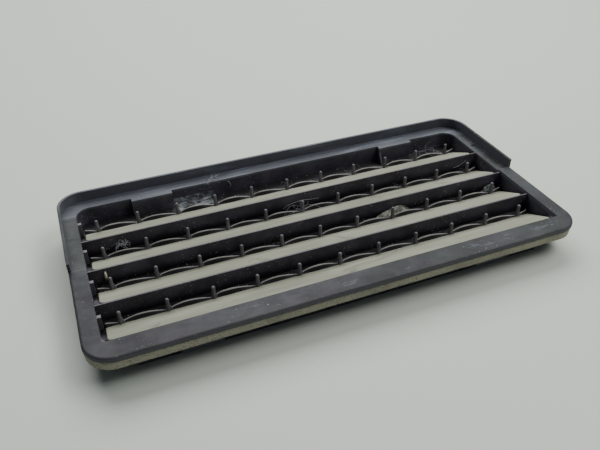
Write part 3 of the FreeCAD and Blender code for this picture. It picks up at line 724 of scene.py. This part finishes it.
# %% [markdown]
# ## Dirt caught in the troughs
#
# Lint, cobweb and flakes of old sealing paste have collected behind the pegs. Lint is a knot
# of fine fibres. A hair system could draw it, but its hairs are no mesh and are lost in an
# exported model, so it's made as thin tubes along wandering paths, all in one mesh. A flake is
# a thin crumpled plate, and crumbs are tiny lumps. They are real meshes, because they throw
# shadows and catch the light as no paint does.


# %% Finishes of the dirt
def dirt_finish(name, pale, dark, size):
    """Dull mottled colour between two tones, with bumps of about size metres."""
    paint = Finish(name, Roughness=0.85)
    mottle = paint.noise(size, 4, 0.6).fade(0.35, 0.65)
    paint.feed("Base Color", paint.mix(mottle, dark, pale))
    paint.relief((paint.noise(size / 3, 3), size / 8))
    return paint.material


lint_grey = dirt_finish("lint", (0.40, 0.41, 0.42), (0.22, 0.22, 0.24), 0.001)
flake_grey = dirt_finish("flake", (0.40, 0.41, 0.34), (0.09, 0.10, 0.085), 0.0024)
flake_dark = dirt_finish("flake_dark", (0.17, 0.20, 0.18), (0.03, 0.04, 0.04), 0.0018)
grain_cream = dirt_finish("grain", (0.62, 0.60, 0.46), (0.42, 0.40, 0.28), 0.001)

# %% Fibres
TUBE_SIDES = 5
LEAN = (0.31, 0.22, 0.93)


def fibres(name, paths, radius, material):
    """Thin closed tubes round paths of shape (fibres, points, 3), in one mesh.

    A ring point stands at path + radius * (cos a * across + sin a * up), where across and up
    are square to the path, and the radius shrinks towards the ends. Across is the cross
    product of the path's direction and one fixed leaning direction.
    """
    count, length = paths.shape[:2]
    along = np.gradient(paths, axis=1)
    along /= np.linalg.norm(along, axis=2, keepdims=True)
    across = np.cross(along, np.array(LEAN))
    across /= np.linalg.norm(across, axis=2, keepdims=True)
    up = np.cross(along, across)
    a = np.linspace(0, 2 * np.pi, TUBE_SIDES, endpoint=False)
    place = np.linspace(0, 1, length)
    thick = radius * (0.25 + 0.75 * np.sqrt(np.sin(np.pi * place)))[None, :, None, None]
    round_path = across[:, :, None] * np.cos(a)[:, None] + up[:, :, None] * np.sin(a)[:, None]
    points = paths[:, :, None] + thick * round_path
    tube = turned_round(grid_faces(length, TUBE_SIDES, close_v=True))
    walls = repeated(tube, count, length * TUBE_SIDES)
    first = np.arange(count)[:, None] * length * TUBE_SIDES
    last = first + (length - 1) * TUBE_SIDES
    ring = np.arange(TUBE_SIDES)[None, :]
    faces = walls.tolist() + (first + ring[:, ::-1]).tolist() + (last + ring).tolist()
    made = new_mesh(name, points, faces, material)
    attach(made, "frame")
    print(name, count, "fibres")


def wandering(draw, count, length, step, turn, spread, centre, lift):
    """Paths that wander level with a slowly turning heading, each lifted in an arch.

    The heading is a start angle plus the running sum of small random turns. The place is the
    running sum of steps along the heading, and the height is lift * sin(pi * t).
    """
    start = draw.normal(0, 1, (count, 1, 2)) * np.array(spread)
    first_heading = draw.uniform(0, 2 * np.pi, (count, 1))
    heading = first_heading + np.cumsum(draw.normal(0, turn, (count, length)), 1)
    steps = np.stack([np.cos(heading), np.sin(heading)], axis=-1) * step
    flat = start + np.cumsum(steps, axis=1)
    flat -= flat.mean(axis=1, keepdims=True) * 0.4
    t = np.linspace(0, 1, length)
    height = lift * draw.uniform(0.1, 1, (count, 1)) * np.sin(np.pi * t)[None, :]
    level = np.concatenate([flat, height[:, :, None]], axis=-1)
    return level + np.array(centre)


# %% Lint and cobweb
floor_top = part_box("peg_row_1")[0][2]
behind = {row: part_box("louvre_%d" % (row - 1))[0][1] for row in ROWS[1:]}
behind[1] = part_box("louvre_1")[1][1]
flange_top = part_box("louvre_1")[1][2]
draw = np.random.default_rng(11)


def trough(row, x, forward, height):
    """A point in a trough: x along it, and distances in front of its wall and over its floor."""
    return (x * MM, behind[row] - forward * MM, floor_top + height * MM)


def lint(name, centre, spread, count, length, step, turn, lift, radius):
    """A knot of wandering fibres round a centre; spread, step, lift and radius are in mm."""
    spread = (spread[0] * MM, spread[1] * MM)
    paths = wandering(draw, count, length, step * MM, turn, spread, centre, lift * MM)
    fibres(name, paths, radius * MM, lint_grey)


lint("lint_left", trough(2, -91, 1.7, 3.6), (1.7, 0.4), 30, 18, 0.34, 0.6, 2.6, 0.045)
lint("lint_middle", trough(2, -1, 2.4, 1.6), (2.5, 0.4), 9, 30, 0.55, 0.16, 3.6, 0.05)
lint("lint_far_right", trough(1, 94, 3.2, 1.2), (6.0, 1.0), 15, 24, 0.6, 0.25, 3.6, 0.035)
lint("lint_far_left", trough(1, -48, 2.6, 0.6), (4.5, 1.0), 22, 20, 0.5, 0.4, 2.0, 0.045)
on_flange = (-37.5 * MM, 50.5 * MM, flange_top + 0.1 * MM)
lint("lint_on_flange", on_flange, (1.2, 1.8), 24, 18, 0.36, 0.5, 0.4, 0.05)

# %% Single hairs
HAIR_POINTS = 30


def hair(name, row, points, radius):
    """One fibre through listed points, each given as trough() takes them.

    The path goes straight from point to point, and a running mean of five places, weighted
    1, 2, 3, 2 and 1, rounds its corners. The radius is in mm.
    """
    path = np.array([trough(row, *point) for point in points])
    t = np.linspace(0, len(path) - 1, HAIR_POINTS)
    smooth = np.stack([np.interp(t, np.arange(len(path)), path[:, axis]) for axis in range(3)], -1)
    kernel = np.array([1, 2, 3, 2, 1]) / 9
    ends = np.pad(smooth, ((2, 2), (0, 0)), mode="edge")
    smooth = np.stack([np.convolve(ends[:, axis], kernel, "valid") for axis in range(3)], -1)
    fibres(name, smooth[None], radius * MM, lint_grey)


right_path = [(94, 0.6, 3.0), (97, 0.5, 3.1), (99.5, 0.4, 4.3), (102.5, 0.5, 6.2)]
middle_path = [(-10, 1.6, 2.6), (-6, 1.4, 4.6), (1, 1.2, 5.4), (6, 1.4, 4.8), (11, 1.6, 4.6)]
flange_path = [(-30, 0.2, 7.6), (-29, 0.15, 6.4), (-28.2, 0.2, 4.6), (-29.4, 0.2, 3.0)]
hair("hair_right", 2, right_path, 0.13)
hair("hair_middle", 2, middle_path, 0.10)
hair("hair_flange", 1, flange_path, 0.16)

# %% Flakes
FLAKE_THICKNESS = 0.25 * MM
FLAKE_FOOT = 0.35
FLAKE_OUT = 2.9
FLAKE_LEAN = 2.3
FLAKE_RUFFLE = 0.06
FLAKE_POINTS = (40, 16)


def flake(name, row, x, width, height, seed, material):
    """Thin half-moon plate that leans on the trough's wall, crumpled by smooth waves.

    At u along it and v up it, from 0 to 1, the place is width * (u - 1/2) along the
    trough, and the height is height * v * crown(u) over the plate's foot, where the crown
    is near sin(pi * u^1.35) and a little wavy. All its measures are in mm.
    """
    own = np.random.default_rng(seed)
    u = np.linspace(0.02, 0.98, FLAKE_POINTS[0])[:, None]
    v = np.linspace(0, 1, FLAKE_POINTS[1])[None, :]
    crown = np.sin(np.pi * u**1.35) ** 0.9 * (1 + 0.10 * np.sin(9 * u + own.uniform(0, 6)))
    ruffle = np.zeros(FLAKE_POINTS)
    for wave in range(6):
        a = own.uniform(5, 22)
        b = own.uniform(2, 9)
        turn = own.uniform(0, 6.3)
        ruffle += np.sin(a * u + b * v + turn)
    along = (x + width * (u - 0.5)) * MM + 0 * v
    up = floor_top + (FLAKE_FOOT + height * v * crown) * MM
    lean = behind[row] - (FLAKE_OUT - FLAKE_LEAN * v * crown + FLAKE_RUFFLE * ruffle) * MM
    points, faces = two_sided(np.stack([along, lean, up], axis=-1), FLAKE_THICKNESS)
    made = new_mesh(name, points, faces.tolist(), material)
    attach(made, "frame")
    print(name, len(faces), "faces")


flake("flake_middle", 3, 41.2, 25.0, 3.9, 3, flake_grey)
flake("flake_right", 3, 100.5, 12.0, 3.4, 4, flake_dark)

# %% Grain and crumbs
BALL_ROUND = 9
BALL_DOWN = 6
CRUMBS = 60
HOOK_X = 70.6 * MM
HOOK_REACH = 10.5 * MM
HOOK_ROOM = 1.5 * MM


def lumps(name, centres, sizes, seed, material):
    """Small uneven balls in one mesh: a ball's radius is size * (1 + waves over its angles).

    There is one size for each ball, or one for each of its axes.
    """
    own = np.random.default_rng(seed)
    count = len(centres)
    across = np.linspace(0, 2 * np.pi, BALL_ROUND, endpoint=False)[None, :, None]
    down = np.linspace(0, np.pi, BALL_DOWN)[None, None, :]
    turn = own.uniform(0, 6.3, (count, 1, 1))
    swell = 1 + 0.3 * np.sin(2 * across + turn) * np.sin(down) + 0.2 * np.cos(3 * down + turn)
    ball = np.stack([np.sin(down) * np.cos(across), np.sin(down) * np.sin(across),
                     np.cos(down) + 0 * across], axis=-1)
    size = np.reshape(sizes, (count, 1, 1, -1))
    points = np.reshape(centres, (count, 1, 1, 3)) + ball * swell[..., None] * size
    one = turned_round(grid_faces(BALL_ROUND, BALL_DOWN, close_u=True))
    faces = repeated(one, count, BALL_ROUND * BALL_DOWN)
    made = new_mesh(name, points, faces.tolist(), material)
    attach(made, "frame")
    print(name, count, "lumps")


grain_size = (0.9 * MM, 0.6 * MM, 1.8 * MM)
lumps("grain_on_wall", [trough(3, -101.4, 0.5, 5.6)], [grain_size], 5, grain_cream)

row_of = draw.integers(1, 5, CRUMBS)
crumb_x = draw.uniform(-104, 104, CRUMBS) * MM
crumb_y = np.array([behind[row] for row in row_of]) - draw.uniform(0.3, 2.6, CRUMBS) * MM
# Crumbs of the far trough that lie before a hook keep clear of it when it bends inwards.
before_hook = (row_of == 1) & (np.abs(np.abs(crumb_x) - HOOK_X) < HOOK_REACH)
crumb_y = crumb_y - np.where(before_hook, HOOK_ROOM, 0.0)
crumb_z = floor_top + draw.uniform(0.05, 0.15, CRUMBS) * MM
crumb_size = draw.uniform(0.12, 0.38, CRUMBS) ** 1.3 * MM
lumps("crumbs", np.stack([crumb_x, crumb_y, crumb_z], -1), crumb_size, 6, flake_grey)

# %% [markdown]
# ## Floor, light and camera
#
# The floor is pale and plain. A sky picture could light the vent, but two wide soft lamps are
# plainer and easier to place. The window stands behind the vent, so the shelves that face up
# and back are bright and the walls that face the viewer stay dark. The fill hangs almost
# overhead to the right, and lifts that side without washing out the shadow in front. The
# camera stands before the vent and to its left, and looks down on it.

# %% Floor
FLOOR_REACH = 3.0
FLOOR_COLOUR = (0.465, 0.500, 0.440, 1)


def plain_floor():
    """One big square at height 0, outside the model."""
    paint = Finish("pale_floor", Roughness=0.55)
    paint.shader.inputs["Base Color"].default_value = FLOOR_COLOUR
    signs = np.array([(-1, -1, 0), (1, -1, 0), (1, 1, 0), (-1, 1, 0)])
    floor = new_mesh("floor", signs * FLOOR_REACH, [(0, 1, 2, 3)], paint.material)


plain_floor()

# %% Lamps and sky
LAMP_COLOUR = (1.0, 0.995, 0.98)
SKY_COLOUR = (0.70, 0.80, 1.00, 1)
SKY_STRENGTH = 0.14


def soft_light(name, place, aim, size, power):
    """Rectangular area lamp at place, turned towards aim."""
    light = bpy.data.lights.new(name, "AREA")
    light.shape = "RECTANGLE"
    light.size, light.size_y = size
    light.energy = power
    light.color = LAMP_COLOUR
    lamp = bpy.data.objects.new(name, light)
    bpy.context.collection.objects.link(lamp)
    lamp.location = place
    direction = np.array(aim, float) - np.array(place, float)
    flat = math.hypot(direction[0], direction[1])
    tilt = math.atan2(flat, -direction[2])
    lamp.rotation_euler = (tilt, 0, math.atan2(-direction[0], direction[1]))
    print(name, power, "W")


soft_light("window", (0.12, 0.66, 0.78), (0.05, 0, 0), (1.2, 0.7), 17.0)
soft_light("fill", (0.62, -0.16, 0.92), (0.35, -0.06, 0), (0.8, 0.45), 10.5)
world = bpy.data.worlds.new("room")
world.use_nodes = True
sky = world.node_tree.nodes["Background"]
sky.inputs["Color"].default_value = SKY_COLOUR
sky.inputs["Strength"].default_value = SKY_STRENGTH
bpy.context.scene.world = world

# %% Camera
CAMERA_PLACE = (-100.04 * MM, -225.33 * MM, 193.13 * MM)
CAMERA_TURN = 22.27
CAMERA_TILT = 36.78
LENS_LENGTH = 37.19
SENSOR_WIDTH = 36.0
NEAREST_SEEN = 0.01
lens = bpy.data.cameras.new("camera")
lens.sensor_width = SENSOR_WIDTH
lens.lens = LENS_LENGTH
lens.clip_start = NEAREST_SEEN
camera = bpy.data.objects.new("camera", lens)
camera.location = CAMERA_PLACE
camera.rotation_euler = (math.radians(90 - CAMERA_TILT), 0, math.radians(-CAMERA_TURN))
bpy.context.collection.objects.link(camera)
bpy.context.scene.camera = camera
print("camera turned", CAMERA_TURN, "degrees and tilted down", CAMERA_TILT)
